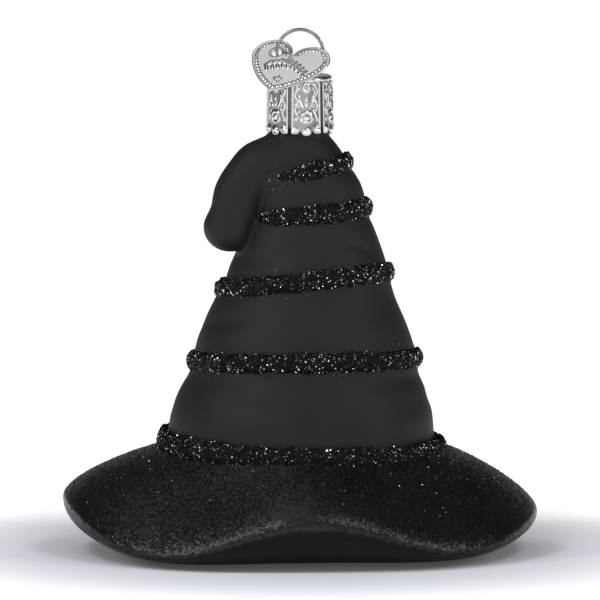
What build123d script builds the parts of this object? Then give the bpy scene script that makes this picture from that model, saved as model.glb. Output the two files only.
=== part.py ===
"""Hanging ornament of blown glass in the form of a crumpled witch's hat.

One hollow glass blank carries five beads of glitter. A stamped cap sits on its open neck, a spring
wire through the cap grips the neck from inside, and a stamped heart tag hangs on the wire's loop.
All sizes are in millimetres. +Z is up, +X is to the right and -Y faces the viewer.
"""

import os
from math import asin, atan2, cos, degrees, hypot, pi, radians, sin, sqrt

from build123d import *

# ---------------------------------------------------------------- driving dimensions
BRIM_WIDTH = 90.0  # across X
BRIM_DEPTH = 80.0  # across Y
CROWN_WIDTH = 50.8  # across the foot of the crown
CROWN_DEPTH = 47.0
CROWN_FOOT_Z = 20.6  # where crown and brim meet
SHOULDER_Z = 79.0  # where the crown ends in the neck
FOOT_WIDTH = 38.0  # flat the hat stands on
FOOT_DEPTH = 32.0
GLASS_WALL = 1.0

NECK_RADIUS = 5.5
NECK_LENGTH = 11.2

BAND_HALF_HEIGHT = 1.95  # section of the glitter beads
BAND_HALF_DEPTH = 1.35

CAP_GAP = 0.25  # between neck and skirt
CAP_SHEET = 0.3
CAP_FLARE = 0.3  # how much wider the skirt is at its open end
CAP_EDGE_ROUND = 0.25
PETAL_COUNT = 6
PETAL_GAP = 0.5
PETAL_TURN = 11.5  # degrees from the front to the middle of the front petal
SLOT_DROP = 0.8  # solid rim above the slots
SCALLOP_RADIUS = 0.95

WIRE_DIAMETER = 0.65
WIRE_HOLE_CLEARANCE = 0.07
LEG_OFFSET = 2.5  # each leg from the cap's centre
LOOP_RADIUS = 4.35
LOOP_NECK_RADIUS = 1.2  # bend between loop and leg
LOOP_LIFT = 0.1  # straight wire seen between cap and bend
PULL_TRAVEL = 4.0  # how far the loop can be pulled up
LEG_LENGTH = 23.0  # below the cap
LEG_BEND_RADIUS = 3.0
LEG_CLEARANCE = 0.12  # between the leg's toe and the neck's bore

TAG_SHEET = 0.25
TAG_LOBE_RADIUS = 3.95
TAG_NOTCH_TO_TIP = 9.1
TAG_LOBE_END = -24.0  # degrees, where each lobe turns into its long side
TAG_HOLE_RADIUS = 0.95
TAG_HOLE_FROM_AXIS = 3.2  # the hole sits in the left lobe
TAG_HOLE_ABOVE_LOBES = 0.5
TAG_CLEARANCE = 0.15  # over the cap's rounded rim, which sets how far the tag leans
TAG_YAW = 16.0  # degrees, right side forwards
TAG_ROLL = 12.5  # degrees clockwise in its own plane
TAG_WIRE_ANGLE = 183.0  # degrees round the loop where the tag hangs

# ---------------------------------------------------------------- places that follow from them
NECK_TOP_Z = SHOULDER_Z + NECK_LENGTH
CAP_TOP_Z = NECK_TOP_Z + CAP_SHEET
CAP_INNER_RADIUS = NECK_RADIUS + CAP_GAP
WIRE_RADIUS = WIRE_DIAMETER / 2
LOOP_RISE = sqrt((LOOP_RADIUS + LOOP_NECK_RADIUS) ** 2 - (LEG_OFFSET + LOOP_NECK_RADIUS) ** 2)
LOOP_Z = CAP_TOP_Z + LOOP_LIFT + LOOP_RISE

# Crown sections, foot to neck: share of the height, share of the foot's radius over the neck's,
# and the sideways drift of the centre. The radius swells between the beads and dips under them.
CROWN_STATIONS = [
    (0.000, 1.000, 0.2),
    (0.035, 0.990, 0.2),
    (0.110, 0.962, 0.3),
    (0.175, 0.893, 0.5),
    (0.225, 0.818, 0.7),
    (0.268, 0.792, 0.9),
    (0.330, 0.752, 0.9),
    (0.400, 0.676, 0.9),
    (0.465, 0.588, 1.0),
    (0.517, 0.520, 1.4),
    (0.575, 0.474, 1.6),
    (0.635, 0.408, 1.8),
    (0.700, 0.342, 1.7),
    (0.750, 0.282, 1.6),
    (0.800, 0.265, 1.5),
    (0.850, 0.226, 1.3),
    (0.905, 0.140, 0.9),
    (0.960, 0.070, 0.5),
    (1.000, 0.000, 0.0),
]
CROWN_RINGS = 30

# The brim waves. Angle from +X, height of its edge over the table, and how much of the fall to
# the edge is spent close to the crown: less makes the brim's top rounder.
BRIM_WAVE = [
    (0, 7.6, 0.17),
    (48, 3.6, 0.34),
    (92, 8.2, 0.34),
    (135, 4.4, 0.36),
    (180, 10.4, 0.17),
    (231, 2.2, 0.40),
    (275, 8.8, 0.36),
    (318, 2.8, 0.34),
]
EDGE_ROUND = 3.4  # how far over the edge the brim's top starts to roll
BRIM_RINGS = 10
UNDERSIDE_RINGS = 12

# The drooping tip, from inside the crown to its end: x, y, depth under the shoulder, radius.
TIP_SECTIONS = [
    (1.0, -0.3, 5.5, 3.4),
    (-3.6, -1.5, 5.5, 4.3),
    (-7.2, -2.8, 5.3, 4.8),
    (-9.9, -3.7, 7.8, 4.6),
    (-11.6, -4.2, 10.8, 4.7),
    (-12.5, -4.4, 14.2, 4.3),
    (-13.5, -4.3, 17.2, 4.8),
    (-14.2, -4.1, 19.4, 3.7),
]
TIP_END = (-14.7, -4.0, 21.2)
TIP_STEPS = 2  # rings from one section to the next

# Glitter beads, top to bottom: name, share of the crown's height at the middle of the centre
# line, how much the line rises from there to the right and to the front, and how far it stands
# off the glass.
BANDS = [
    ("glitter_band_1", 0.885, 1.5, 0.3, 0.0),
    ("glitter_band_2", 0.750, 0.9, 0.3, 0.0),
    ("glitter_band_3", 0.527, 1.6, 1.2, 0.0),
    ("glitter_band_4", 0.271, 0.3, 1.2, 0.0),
    ("glitter_band_5", -0.005, -0.7, -0.5, 0.8),
]
BAND_SECTIONS = 24
RING_POINTS = 32


# ---------------------------------------------------------------- the hat's rings
def between(a, b, t):
    """Value the share t of the way from a to b."""
    return a + (b - a) * t


def ellipse_radius(width, depth, angle):
    """Distance from centre to rim of an ellipse at that angle."""
    a, b = width / 2, depth / 2
    return a * b / hypot(b * cos(angle), a * sin(angle))


def brim_wave(angle):
    """Edge height and early fall of the waving brim, eased between its high and low points."""
    turn = degrees(angle) % 360
    stops = [*BRIM_WAVE, (BRIM_WAVE[0][0] + 360, *BRIM_WAVE[0][1:])]
    for start, stop in zip(stops, stops[1:]):
        if start[0] <= turn <= stop[0]:
            t = (1 - cos(pi * (turn - start[0]) / (stop[0] - start[0]))) / 2
            return between(start[1], stop[1], t), between(start[2], stop[2], t)
    raise ValueError("angle outside the wave")


def crown_profile(height):
    """Radius share and sideways drift at a share of the crown's height, smoothed by cubics."""
    rows = CROWN_STATIONS
    last = len(rows) - 1
    i = next(n for n in range(last) if height <= rows[n + 1][0] or n == last - 1)
    span = rows[i + 1][0] - rows[i][0]
    t = (height - rows[i][0]) / span
    values = []
    for column in (1, 2):

        def slope(n):
            low, high = rows[max(n - 1, 0)], rows[min(n + 1, last)]
            return (high[column] - low[column]) / (high[0] - low[0]) * span

        start, stop = rows[i][column], rows[i + 1][column]
        values.append(
            start * (1 + 2 * t) * (1 - t) ** 2
            + slope(i) * t * (1 - t) ** 2
            + stop * t * t * (3 - 2 * t)
            + slope(i + 1) * t * t * (t - 1)
        )
    return values


def crown_radius(share, angle):
    """Crown radius at a share of the way from neck to foot."""
    foot = ellipse_radius(CROWN_WIDTH, CROWN_DEPTH, angle)
    return between(NECK_RADIUS, foot, share)


def flat_ring(z, radius_at, drift):
    """Ring at one height whose radius depends on the angle."""
    return lambda angle: (
        drift + radius_at(angle) * cos(angle),
        radius_at(angle) * sin(angle),
        z,
    )


def crown_ring(height):
    share, drift = crown_profile(height)
    z = between(CROWN_FOOT_Z, SHOULDER_Z, height)
    return flat_ring(z, lambda angle: crown_radius(share, angle), drift)


def neck_ring(z, radius=NECK_RADIUS):
    return flat_ring(z, lambda angle: radius, 0.0)


def foot_ring(z):
    return flat_ring(z, lambda angle: ellipse_radius(FOOT_WIDTH, FOOT_DEPTH, angle), 0.0)


def bezier(p0, p1, p2, p3, t):
    """Point of a plane cubic with those four poles."""
    weights = ((1 - t) ** 3, 3 * t * (1 - t) ** 2, 3 * t * t * (1 - t), t**3)
    return [sum(w * p[i] for w, p in zip(weights, (p0, p1, p2, p3))) for i in (0, 1)]


def brim_top_ring(t):
    """Ring on top of the brim, the share t of the way from crown to edge."""

    def point(angle):
        crown = ellipse_radius(CROWN_WIDTH, CROWN_DEPTH, angle)
        edge = ellipse_radius(BRIM_WIDTH, BRIM_DEPTH, angle)
        edge_z, early_fall = brim_wave(angle)
        knee = between(crown, edge, 0.42), between(CROWN_FOOT_Z, edge_z, early_fall)
        radius, z = bezier(
            (crown, CROWN_FOOT_Z), knee, (edge, edge_z + EDGE_ROUND), (edge, edge_z), t
        )
        drift = CROWN_STATIONS[0][2] * (1 - t)
        return drift + radius * cos(angle), radius * sin(angle), z

    return point


def underside_ring(t):
    """Ring under the brim, the share t of the way from edge to flat foot."""

    def point(angle):
        edge = ellipse_radius(BRIM_WIDTH, BRIM_DEPTH, angle)
        foot = ellipse_radius(FOOT_WIDTH, FOOT_DEPTH, angle)
        edge_z, _ = brim_wave(angle)
        belly = between(foot, edge, 0.75)
        radius, z = bezier((edge, edge_z), (edge, edge_z / 2), (belly, 0), (foot, 0), t)
        return radius * cos(angle), radius * sin(angle), z

    return point


def crown_rings():
    """Neck and crown, top to bottom."""
    neck_steps = round(NECK_LENGTH * CROWN_RINGS / (SHOULDER_Z - CROWN_FOOT_Z))
    neck = [neck_ring(between(NECK_TOP_Z, SHOULDER_Z, i / neck_steps)) for i in range(neck_steps)]
    return neck + [crown_ring(1 - i / CROWN_RINGS) for i in range(CROWN_RINGS + 1)]


def brim_rings():
    """Brim from the foot of the crown round the edge to the flat foot."""
    top = [brim_top_ring(i / BRIM_RINGS) for i in range(BRIM_RINGS + 1)]
    under = [underside_ring(i / UNDERSIDE_RINGS) for i in range(1, UNDERSIDE_RINGS)]
    return [*top, *under, foot_ring(0.0)]


def ring_points(rings):
    turns = [2 * pi * k / RING_POINTS for k in range(RING_POINTS)]
    return [[Vector(*ring(turn)) for turn in turns] for ring in rings]


def offset_inwards(rows, wall):
    """The same rings moved in by the wall, square to the surface."""
    moved = []
    for i, row in enumerate(rows):
        above, below = rows[max(i - 1, 0)], rows[min(i + 1, len(rows) - 1)]
        new_row = []
        for k, point in enumerate(row):
            down = below[k] - above[k]
            round_ = row[(k + 1) % RING_POINTS] - row[k - 1]
            new_row.append(point + round_.cross(down).normalized() * wall)
        moved.append(new_row)
    return moved


def loft_through(rows):
    """Solid whose skin passes through rings of points; the first and last rings are flat."""
    wires = [Wire([Edge.make_spline(row, periodic=True)]) for row in rows]
    return Solid.make_loft(wires, ruled=True)


def hat_solid():
    return loft_through(ring_points(crown_rings() + brim_rings()[1:]))


def hat_cavity():
    """The hollow: the same rings a wall further in, open at the neck and closed over the foot."""
    rows = offset_inwards(ring_points(crown_rings() + brim_rings()[1:]), GLASS_WALL)
    bore = NECK_RADIUS - GLASS_WALL
    mouth = ring_points([neck_ring(NECK_TOP_Z + GLASS_WALL, bore), neck_ring(NECK_TOP_Z, bore)])
    floor = [Vector(p.X, p.Y, GLASS_WALL) for p in rows[-1]]
    return loft_through([*mouth, *rows[1:-1], floor])


def through(before, start, stop, after, t):
    """Value at the share t from start to stop on a smooth curve that meets all four."""
    return (
        start
        + (stop - before) * t / 2
        + (before - 2.5 * start + 2 * stop - after / 2) * t * t
        + (1.5 * (start - stop) + (after - before) / 2) * t**3
    )


def tip_rings():
    """Centre, depth and radius of rings along the drooping tip, eased between its sections."""
    last = TIP_SECTIONS[-1]
    rows = [TIP_SECTIONS[0], *TIP_SECTIONS, (*TIP_END, last[3])]
    rings = [
        [through(*column, step / TIP_STEPS) for column in zip(*four)]
        for four in zip(rows, rows[1:], rows[2:], rows[3:])
        for step in range(TIP_STEPS)
    ]
    return [*rings, last]


def tip_solid(thinner):
    """The drooping tip, or its hollow where it is thinner by the wall."""
    rings = tip_rings()
    points = [Vector(x, y, SHOULDER_Z - depth) for x, y, depth, _ in rings]
    end = Vector(TIP_END[0], TIP_END[1], SHOULDER_Z - TIP_END[2])
    wires = []
    for i, (point, row) in enumerate(zip(points, rings)):
        ahead = points[i + 1] if i + 1 < len(points) else end
        behind = points[max(i - 1, 0)]
        plane = Plane(origin=point, x_dir=(0, 1, 0), z_dir=(ahead - behind).normalized())
        wires.append(Wire.make_circle(row[3] - thinner, plane))
    back = (points[-1] - end).normalized() * thinner
    return Solid.make_loft([*wires, Vertex(*(end + back))], ruled=True)


# ---------------------------------------------------------------- glass and glitter
def glass_outside():
    return hat_solid() + tip_solid(0.0)


def glass_body(outside):
    return outside - hat_cavity() - tip_solid(GLASS_WALL)


def band_height(angle, z, to_right, to_front):
    """Height of a bead's centre line: it leans to one side and to the front."""
    return z + to_right * cos(angle) - to_front * sin(angle)


def glitter_band(outside, height, to_right, to_front, proud):
    """A bead wound round the crown in its own leaning plane and bedded on the glass."""
    z = between(CROWN_FOOT_Z, SHOULDER_Z, height)
    points = []
    for k in range(BAND_SECTIONS):
        angle = 2 * pi * (k + 0.5) / BAND_SECTIONS
        point_z = band_height(angle, z, to_right, to_front)
        share, drift = crown_profile((point_z - CROWN_FOOT_Z) / (SHOULDER_Z - CROWN_FOOT_Z))
        radius = crown_radius(share, angle) + proud
        points.append(Vector(drift + radius * cos(angle), radius * sin(angle), point_z))
    rings = []
    for k, point in enumerate(points):
        along = points[(k + 1) % BAND_SECTIONS] - points[k - 1]
        across = Plane(point, (0, 0, 1), along.normalized())
        rings.append(Wire.make_ellipse(BAND_HALF_HEIGHT, BAND_HALF_DEPTH, across))
    half = BAND_SECTIONS // 2
    bead = Solid.make_loft(rings[: half + 1]) + Solid.make_loft([*rings[half:], rings[0]])
    return bead - outside


# ---------------------------------------------------------------- cap
def petal_cutter():
    """Blank that trims the skirt below one petal to three scallops, the middle one lowest."""
    pitch = 2 * pi * CAP_INNER_RADIUS / PETAL_COUNT
    side = pitch / 2 - PETAL_GAP / 2 - SCALLOP_RADIUS * 0.8
    side_z = SCALLOP_RADIUS * 1.35
    reach = CAP_INNER_RADIUS + CAP_SHEET + CAP_FLARE + 1
    face = Plane.XZ * Pos(0, side_z - SCALLOP_RADIUS * 2) * Rectangle(pitch * 1.2, SCALLOP_RADIUS * 4)
    for x, z in ((-side, side_z), (0, SCALLOP_RADIUS), (side, side_z)):
        face -= Plane.XZ * Pos(x, z) * Circle(SCALLOP_RADIUS)
    return Pos(0, 0, petal_foot_z()) * extrude(face, reach)


def petal_foot_z():
    return SHOULDER_Z + 0.4


def ornament_cap():
    foot, top = petal_foot_z(), CAP_TOP_Z
    inner_low = CAP_INNER_RADIUS + CAP_FLARE
    height = top - foot
    outer = Cone(inner_low + CAP_SHEET, CAP_INNER_RADIUS + CAP_SHEET, height)
    outer = fillet(outer.edges().sort_by(Axis.Z)[-1], CAP_SHEET + CAP_EDGE_ROUND)
    hollow = Cone(inner_low, CAP_INNER_RADIUS, height)
    hollow = fillet(hollow.edges().sort_by(Axis.Z)[-1], CAP_EDGE_ROUND)
    cap = Pos(0, 0, foot + height / 2) * (outer - Pos(0, 0, -CAP_SHEET) * hollow)
    slot_height = top - SLOT_DROP - foot
    slot = Pos(0, -(inner_low + 1), foot + slot_height / 2) * Box(PETAL_GAP, inner_low, slot_height)
    for k in range(PETAL_COUNT):
        turn = PETAL_TURN + 360 * k / PETAL_COUNT
        cap -= Rot(0, 0, turn) * petal_cutter()
        cap -= Rot(0, 0, turn + 180 / PETAL_COUNT) * slot
    for x in (-LEG_OFFSET, LEG_OFFSET):
        cap -= Pos(x, 0, top) * Cylinder(WIRE_RADIUS + WIRE_HOLE_CLEARANCE, 4 * CAP_SHEET)
    return cap


# ---------------------------------------------------------------- hanger wire
def half_hanger_path():
    """Centre line of the right half: spring leg, straight neck, outward bend and loop."""
    toe_x = NECK_RADIUS - GLASS_WALL - WIRE_RADIUS - LEG_CLEARANCE
    bend_z = CAP_TOP_Z - CAP_SHEET - PULL_TRAVEL - 0.3
    toe_z = CAP_TOP_Z - LEG_LENGTH
    splay = asin(min(0.5, (toe_x - LEG_OFFSET) / (bend_z - toe_z)))
    knee = Vector(
        LEG_OFFSET + LEG_BEND_RADIUS * (1 - cos(splay)), 0, bend_z - LEG_BEND_RADIUS * sin(splay)
    )
    toe = Vector(toe_x, 0, knee.Z - (toe_x - knee.X) / sin(splay) * cos(splay))
    leg_top = Vector(LEG_OFFSET, 0, bend_z)
    bend_start = Vector(LEG_OFFSET, 0, LOOP_Z - LOOP_RISE)
    inner = Vector(LEG_OFFSET + LOOP_NECK_RADIUS, 0, LOOP_Z - LOOP_RISE)
    loop_centre = Vector(0, 0, LOOP_Z)
    loop_start = loop_centre + (inner - loop_centre).normalized() * LOOP_RADIUS
    return [
        Edge.make_line(toe, knee),
        Edge.make_tangent_arc(knee, Vector(-sin(splay), 0, cos(splay)), leg_top),
        Edge.make_line(leg_top, bend_start),
        Edge.make_tangent_arc(bend_start, Vector(0, 0, 1), loop_start),
        Edge.make_three_point_arc(
            loop_start, Vector(LOOP_RADIUS, 0, LOOP_Z), Vector(0, 0, LOOP_Z + LOOP_RADIUS)
        ),
    ]


def hanger_wire():
    half = Wire(half_hanger_path())
    section = Plane(origin=half @ 0, z_dir=half % 0) * Circle(WIRE_RADIUS)
    right = Solid.sweep(section.face(), half)
    return right + mirror(right, Plane.YZ)


# ---------------------------------------------------------------- heart tag
def tag_anchor():
    """Point on the loop's centre line where the tag hangs."""
    turn = radians(TAG_WIRE_ANGLE)
    return Vector(LOOP_RADIUS * cos(turn), 0, LOOP_Z + LOOP_RADIUS * sin(turn))


def tag_lean(yaw):
    """Lean from upright, lower end forwards, at which the sheet just passes over the cap's rim."""
    rim_round = CAP_SHEET + CAP_EDGE_ROUND
    anchor = tag_anchor()
    rise = anchor.Z - (CAP_TOP_Z - rim_round)
    reach = CAP_INNER_RADIUS - CAP_EDGE_ROUND + anchor.X * sin(yaw)
    gap = rim_round + TAG_SHEET / 2 + TAG_CLEARANCE
    return atan2(reach, rise) + asin(gap / hypot(reach, rise))


def tag_plane():
    """The tag's own plane at its hole: local x to the heart's right, local y to its notch."""
    yaw, roll = radians(TAG_YAW), radians(TAG_ROLL)
    lean = tag_lean(yaw)
    across = Vector(cos(yaw), -sin(yaw), 0)
    normal = Vector(-sin(yaw) * cos(lean), -cos(yaw) * cos(lean), sin(lean))
    up = normal.cross(across)
    return Plane(origin=tag_anchor(), x_dir=across * cos(roll) - up * sin(roll), z_dir=normal)


def heart_outline():
    """Half the heart from notch to tip, with its lobes' centres on the local x axis."""
    r = TAG_LOBE_RADIUS
    turn = radians(TAG_LOBE_END)
    notch, top, tip = Vector(0, 0), Vector(r, r), Vector(0, -TAG_NOTCH_TO_TIP)
    side = Vector(r + r * cos(turn), r * sin(turn))
    lobe = Edge.make_three_point_arc(notch, top, side)
    flank = Edge.make_tangent_arc(side, Vector(sin(turn), -cos(turn)), tip)
    return [lobe, flank]


def heart_tag():
    right = heart_outline()
    left = [edge.mirror(Plane.YZ) for edge in right]
    face = Face(Wire([*right, *left]))
    hole = Pos(-TAG_HOLE_FROM_AXIS, TAG_HOLE_ABOVE_LOBES) * Circle(TAG_HOLE_RADIUS)
    flat = Pos(TAG_HOLE_FROM_AXIS, -TAG_HOLE_ABOVE_LOBES) * (face - hole)
    return tag_plane() * extrude(flat, TAG_SHEET / 2, both=True)


# ---------------------------------------------------------------- write the parts
def write(name, shape):
    export_step(shape, f"parts/{name}.step")


def main():
    os.makedirs("parts", exist_ok=True)
    outside = glass_outside()
    write("glass_body", glass_body(outside))
    for name, *course in BANDS:
        write(name, glitter_band(outside, *course))
    write("ornament_cap", ornament_cap())
    write("hanger_wire", hanger_wire())
    write("heart_tag", heart_tag())


main()
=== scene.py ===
import math
from math import cos, pi, radians, sin, sqrt, tau

import bmesh
import bpy
import numpy as np
from mathutils import Matrix, Vector, noise
from mathutils.bvhtree import BVHTree
from mathutils.kdtree import KDTree


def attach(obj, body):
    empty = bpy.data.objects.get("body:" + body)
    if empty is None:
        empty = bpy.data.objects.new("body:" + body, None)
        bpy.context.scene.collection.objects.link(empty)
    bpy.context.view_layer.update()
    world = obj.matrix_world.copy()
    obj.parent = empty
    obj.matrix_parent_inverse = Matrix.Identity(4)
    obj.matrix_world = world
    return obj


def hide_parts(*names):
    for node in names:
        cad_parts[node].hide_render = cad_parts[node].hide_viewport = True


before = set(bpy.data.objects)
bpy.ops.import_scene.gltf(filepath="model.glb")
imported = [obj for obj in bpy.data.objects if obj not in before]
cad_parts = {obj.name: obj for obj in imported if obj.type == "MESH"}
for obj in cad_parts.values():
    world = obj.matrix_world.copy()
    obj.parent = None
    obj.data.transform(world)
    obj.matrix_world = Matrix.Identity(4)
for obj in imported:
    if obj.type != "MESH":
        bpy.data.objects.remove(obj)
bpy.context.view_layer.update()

# Shapes are worked out in millimetres, in the CAD's frame, and turned to metres when a piece is made.
MM = 0.001

# ------------------------------------------------------------------ the hat's driving sizes, as in the CAD
BRIM_WIDTH, BRIM_DEPTH = 90.0, 80.0
CROWN_WIDTH, CROWN_DEPTH = 50.8, 47.0
CROWN_FOOT_Z, SHOULDER_Z = 20.6, 79.0
FOOT_WIDTH, FOOT_DEPTH = 38.0, 32.0
GLASS_WALL = 1.0
NECK_RADIUS, NECK_TOP_Z = 5.5, 90.2
EDGE_ROUND = 3.4
CAP_TOP_Z, CAP_FOOT_Z, CAP_INNER, CAP_SHEET, CAP_FLARE = 90.5, 79.4, 5.75, 0.3, 0.3
CAP_RIM_ROUND, CAP_HOLE_RADIUS = 0.55, 0.40
WIRE_RADIUS, LEG_OFFSET, LOOP_RADIUS, LOOP_BEND = 0.325, 2.5, 4.35, 1.2
LOOP_LIFT, PULL_TRAVEL, LEG_LENGTH, LEG_BEND_RADIUS, LEG_CLEARANCE = 0.1, 4.0, 23.0, 3.0, 0.12
LOOP_RISE = sqrt((LOOP_RADIUS + LOOP_BEND) ** 2 - (LEG_OFFSET + LOOP_BEND) ** 2)
LOOP_Z = CAP_TOP_Z + LOOP_LIFT + LOOP_RISE
# meshing of the glass, and how close a point of it is to count as inside
SKIN_VOXEL, CREASE_REACH, INSIDE_DEPTH = 0.60, 1.6, 0.45

# share of the crown's height, share of its radius over the neck's, sideways drift
CROWN_STATIONS = [
    (0.000, 1.000, 0.2), (0.035, 0.990, 0.2), (0.110, 0.962, 0.3), (0.175, 0.893, 0.5),
    (0.225, 0.818, 0.7), (0.268, 0.792, 0.9), (0.330, 0.752, 0.9), (0.400, 0.676, 0.9),
    (0.465, 0.588, 1.0), (0.517, 0.520, 1.4), (0.575, 0.474, 1.6), (0.635, 0.408, 1.8),
    (0.700, 0.342, 1.7), (0.750, 0.282, 1.6), (0.800, 0.265, 1.5), (0.850, 0.226, 1.3),
    (0.905, 0.140, 0.9), (0.960, 0.070, 0.5), (1.000, 0.000, 0.0),
]
# angle, height of the brim's edge, share of its fall spent near the crown
BRIM_WAVE = [
    (0, 7.6, 0.17), (48, 3.6, 0.34), (92, 8.2, 0.34), (135, 4.4, 0.36),
    (180, 10.4, 0.17), (231, 2.2, 0.40), (275, 8.8, 0.36), (318, 2.8, 0.34), (360, 7.6, 0.17),
]
# the drooping tip: x, y, z, radius
TIP_SECTIONS = [
    (1.0, -0.3, 73.5, 3.4), (-3.6, -1.5, 73.5, 4.3), (-7.2, -2.8, 73.7, 4.8), (-9.9, -3.7, 71.2, 4.6),
    (-11.6, -4.2, 68.2, 4.7), (-12.5, -4.4, 64.8, 4.5), (-13.5, -4.3, 61.8, 4.8), (-14.2, -4.1, 59.6, 3.7),
]
TIP_END = (-14.7, -4.0, 57.8)
# beads: share of the crown's height, rise to the right, rise to the front, how far it stands off,
# and the angles between which the bead thins out towards the folded tip
BANDS = {
    "glitter_band_1": (0.885, 1.5, 0.3, 0.0, (238, 276)),
    "glitter_band_2": (0.750, 0.9, 0.3, 0.0, (214, 250)),
    "glitter_band_3": (0.527, 1.6, 1.2, 0.0, None),
    "glitter_band_4": (0.271, 0.3, 1.2, 0.0, None),
    "glitter_band_5": (-0.005, -0.7, -0.5, 0.8, None),
}
BEAD_HALF_HEIGHT, BEAD_HALF_DEPTH = 1.95, 1.35
# soft folds pressed into the crown: angle, height, half width in degrees, half height, slant, depth
CROWN_FOLDS = [
    (214, 44.5, 26, 1.3, 0.05, 0.50),
    (288, 43.5, 20, 1.2, -0.11, 0.35),
    (250, 57.6, 34, 1.4, 0.04, 0.40),
    (318, 58.5, 22, 1.3, -0.08, 0.35),
    (246, 29.0, 30, 1.6, -0.05, 0.40),
    (310, 27.5, 26, 1.5, 0.06, 0.35),
    (270, 68.4, 34, 1.1, 0.05, 0.30),
    (60, 45.0, 34, 1.5, 0.07, 0.45),
    (128, 41.5, 26, 1.4, -0.07, 0.45),
    (90, 58.0, 36, 1.4, -0.05, 0.40),
    (20, 30.0, 26, 1.5, 0.05, 0.40),
    (150, 28.5, 28, 1.6, -0.04, 0.45),
]


# ------------------------------------------------------------------ small tools
def linear(code):
    """sRGB hex to linear RGBA."""
    parts = [int(code[i : i + 2], 16) / 255 for i in (1, 3, 5)]
    return (*(c / 12.92 if c <= 0.04045 else ((c + 0.055) / 1.055) ** 2.4 for c in parts), 1.0)


def add(tree, kind, settings=None, links=None):
    """Adds a node; settings name its properties or its sockets, links join its sockets."""
    node = tree.nodes.new(kind)
    for key, value in (settings or {}).items():
        if isinstance(key, str) and hasattr(node, key):
            setattr(node, key, value)
        else:
            node.inputs[key].default_value = value
    for key, source in (links or {}).items():
        tree.links.new(source, node.inputs[key])
    return node


def mesh_object(name, points, faces, smooth=True):
    """A mesh object from points in millimetres."""
    mesh = bpy.data.meshes.new(name)
    mesh.from_pydata([tuple(p) for p in np.asarray(points) * MM], [], faces)
    mesh.update()
    mesh.shade_smooth() if smooth else mesh.shade_flat()
    piece = bpy.data.objects.new(name, mesh)
    bpy.context.scene.collection.objects.link(piece)
    return piece


def grid_faces(rows, columns, first=0, closed_rows=False, closed_columns=True):
    """Quads between rows of points, counted row by row."""
    faces = []
    for i in range(rows if closed_rows else rows - 1):
        for k in range(columns if closed_columns else columns - 1):
            a = first + i * columns
            b = first + ((i + 1) % rows) * columns
            m = (k + 1) % columns
            faces.append((a + k, b + k, b + m, a + m))
    return faces


def closed_rings(rows):
    """Points and faces of rings closed at both ends by a fan."""
    rows = np.asarray(rows)
    count, columns = rows.shape[:2]
    points = [*rows.reshape(-1, 3), rows[0].mean(axis=0), rows[-1].mean(axis=0)]
    faces = grid_faces(count, columns)
    top, bottom, last = count * columns, count * columns + 1, (count - 1) * columns
    faces += [(top, k, (k + 1) % columns) for k in range(columns)]
    faces += [(bottom, last + (k + 1) % columns, last + k) for k in range(columns)]
    return points, faces


def evaluated_copy(piece, name):
    """The piece with its modifiers worked in, as a plain mesh object; the first one is removed."""
    graph = bpy.context.evaluated_depsgraph_get()
    mesh = bpy.data.meshes.new_from_object(piece.evaluated_get(graph), depsgraph=graph)
    mesh.name = name
    plain = bpy.data.objects.new(name, mesh)
    bpy.context.scene.collection.objects.link(plain)
    bpy.data.objects.remove(piece)
    return plain


def cut_away(piece, cutter, name):
    """The piece less the cutter."""
    modifier = piece.modifiers.new("cut", "BOOLEAN")
    modifier.operation, modifier.solver, modifier.object = "DIFFERENCE", "EXACT", cutter
    result = evaluated_copy(piece, name)
    bpy.data.objects.remove(cutter)
    return result


def face_outwards(piece):
    """Turns a closed piece's faces outwards."""
    work = bmesh.new()
    work.from_mesh(piece.data)
    bmesh.ops.remove_doubles(work, verts=work.verts, dist=1e-8)
    bmesh.ops.recalc_face_normals(work, faces=work.faces)
    work.to_mesh(piece.data)
    work.free()


def cut_rings(piece, rings, name):
    """The piece, which is in millimetres here, less a closed stack of rings."""
    cutter = mesh_object("cutter", *closed_rings(rings))
    face_outwards(cutter)
    in_millimetres(cutter)
    return cut_away(piece, cutter, name)


def in_millimetres(piece):
    piece.data.transform(Matrix.Scale(1 / MM, 4))


def in_metres(piece):
    piece.data.transform(Matrix.Scale(MM, 4))


def tree_of(piece):
    """Search tree over a piece's faces, in millimetres."""
    mesh = piece.data
    points = np.empty(len(mesh.vertices) * 3)
    mesh.vertices.foreach_get("co", points)
    polygons = [tuple(face.vertices) for face in mesh.polygons]
    return BVHTree.FromPolygons([Vector(p) / MM for p in points.reshape(-1, 3)], polygons)


def store(piece, name, values):
    """Keeps one number per vertex as a named attribute."""
    field = piece.data.attributes.new(name, "FLOAT", "POINT")
    field.data.foreach_set("value", np.asarray(values, dtype=np.float32))


def show(piece, body, slot, *nodes):
    """Hands a finished piece to the frame."""
    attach(piece, body)
    if nodes:
        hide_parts(*nodes)


# ------------------------------------------------------------------ the hat's surface
def ellipse_radius(width, depth, turn):
    a, b = width / 2, depth / 2
    return a * b / np.hypot(b * np.cos(turn), a * np.sin(turn))


def brim_wave(turn):
    """Edge height and early fall round the brim, eased between the wave's high and low points."""
    degrees = np.degrees(turn) % 360
    height, fall = np.zeros_like(degrees), np.zeros_like(degrees)
    for (a, z0, f0), (b, z1, f1) in zip(BRIM_WAVE, BRIM_WAVE[1:]):
        here = (degrees >= a) & (degrees <= b)
        t = (1 - np.cos(pi * (degrees - a) / (b - a))) / 2
        height = np.where(here, z0 + (z1 - z0) * t, height)
        fall = np.where(here, f0 + (f1 - f0) * t, fall)
    return height, fall


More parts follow.
